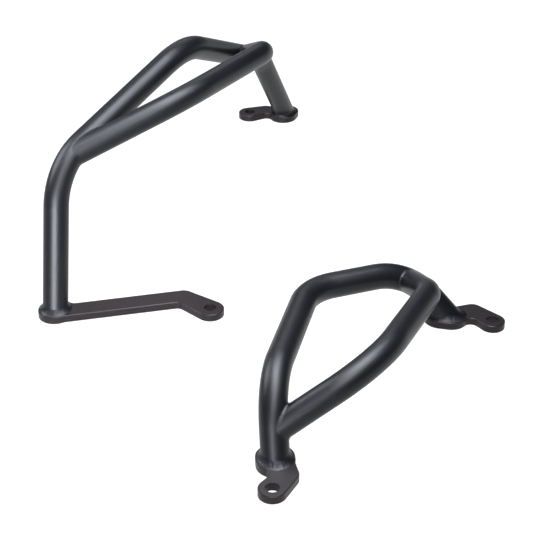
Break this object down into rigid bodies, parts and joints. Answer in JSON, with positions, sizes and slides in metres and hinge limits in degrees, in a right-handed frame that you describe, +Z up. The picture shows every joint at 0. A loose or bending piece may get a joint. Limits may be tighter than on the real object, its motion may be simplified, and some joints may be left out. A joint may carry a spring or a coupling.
{
  "type": "motorcycle crash bars",
  "caption": "Left and right motorcycle crash bars of bent steel tube, each with a welded branch tube and flat bolt-on brackets, coated satin black.",
  "frame": {"origin": "centre of the pair's bounding box in plan, at the underside of the bracket plates", "axes": "+Z up from the plates, +Y along the pair's length away from the viewer, +X to the viewer's right"},
  "size_m": [0.4648, 0.8089, 0.2107],
  "materials": {
    "powder_coat": "satin black powder coat on steel tube and plate",
    "weld_bead": "satin black powder coat over rippled weld beads"
  },
  "bodies": {
    "root": {"left_main_tube": "powder_coat", "left_branch_tube": "powder_coat", "left_lower_bracket": "powder_coat", "left_lower_foot_weld": "weld_bead", "left_lower_joint_weld": "weld_bead", "left_upper_bracket": "powder_coat", "left_upper_foot_weld": "weld_bead", "left_upper_joint_weld": "weld_bead", "right_main_tube": "powder_coat", "right_branch_tube": "powder_coat", "right_lower_bracket": "powder_coat", "right_lower_foot_weld": "weld_bead", "right_lower_joint_weld": "weld_bead", "right_upper_bracket": "powder_coat", "right_upper_foot_weld": "weld_bead", "right_upper_joint_weld": "weld_bead"}
  },
  "joints": []
}
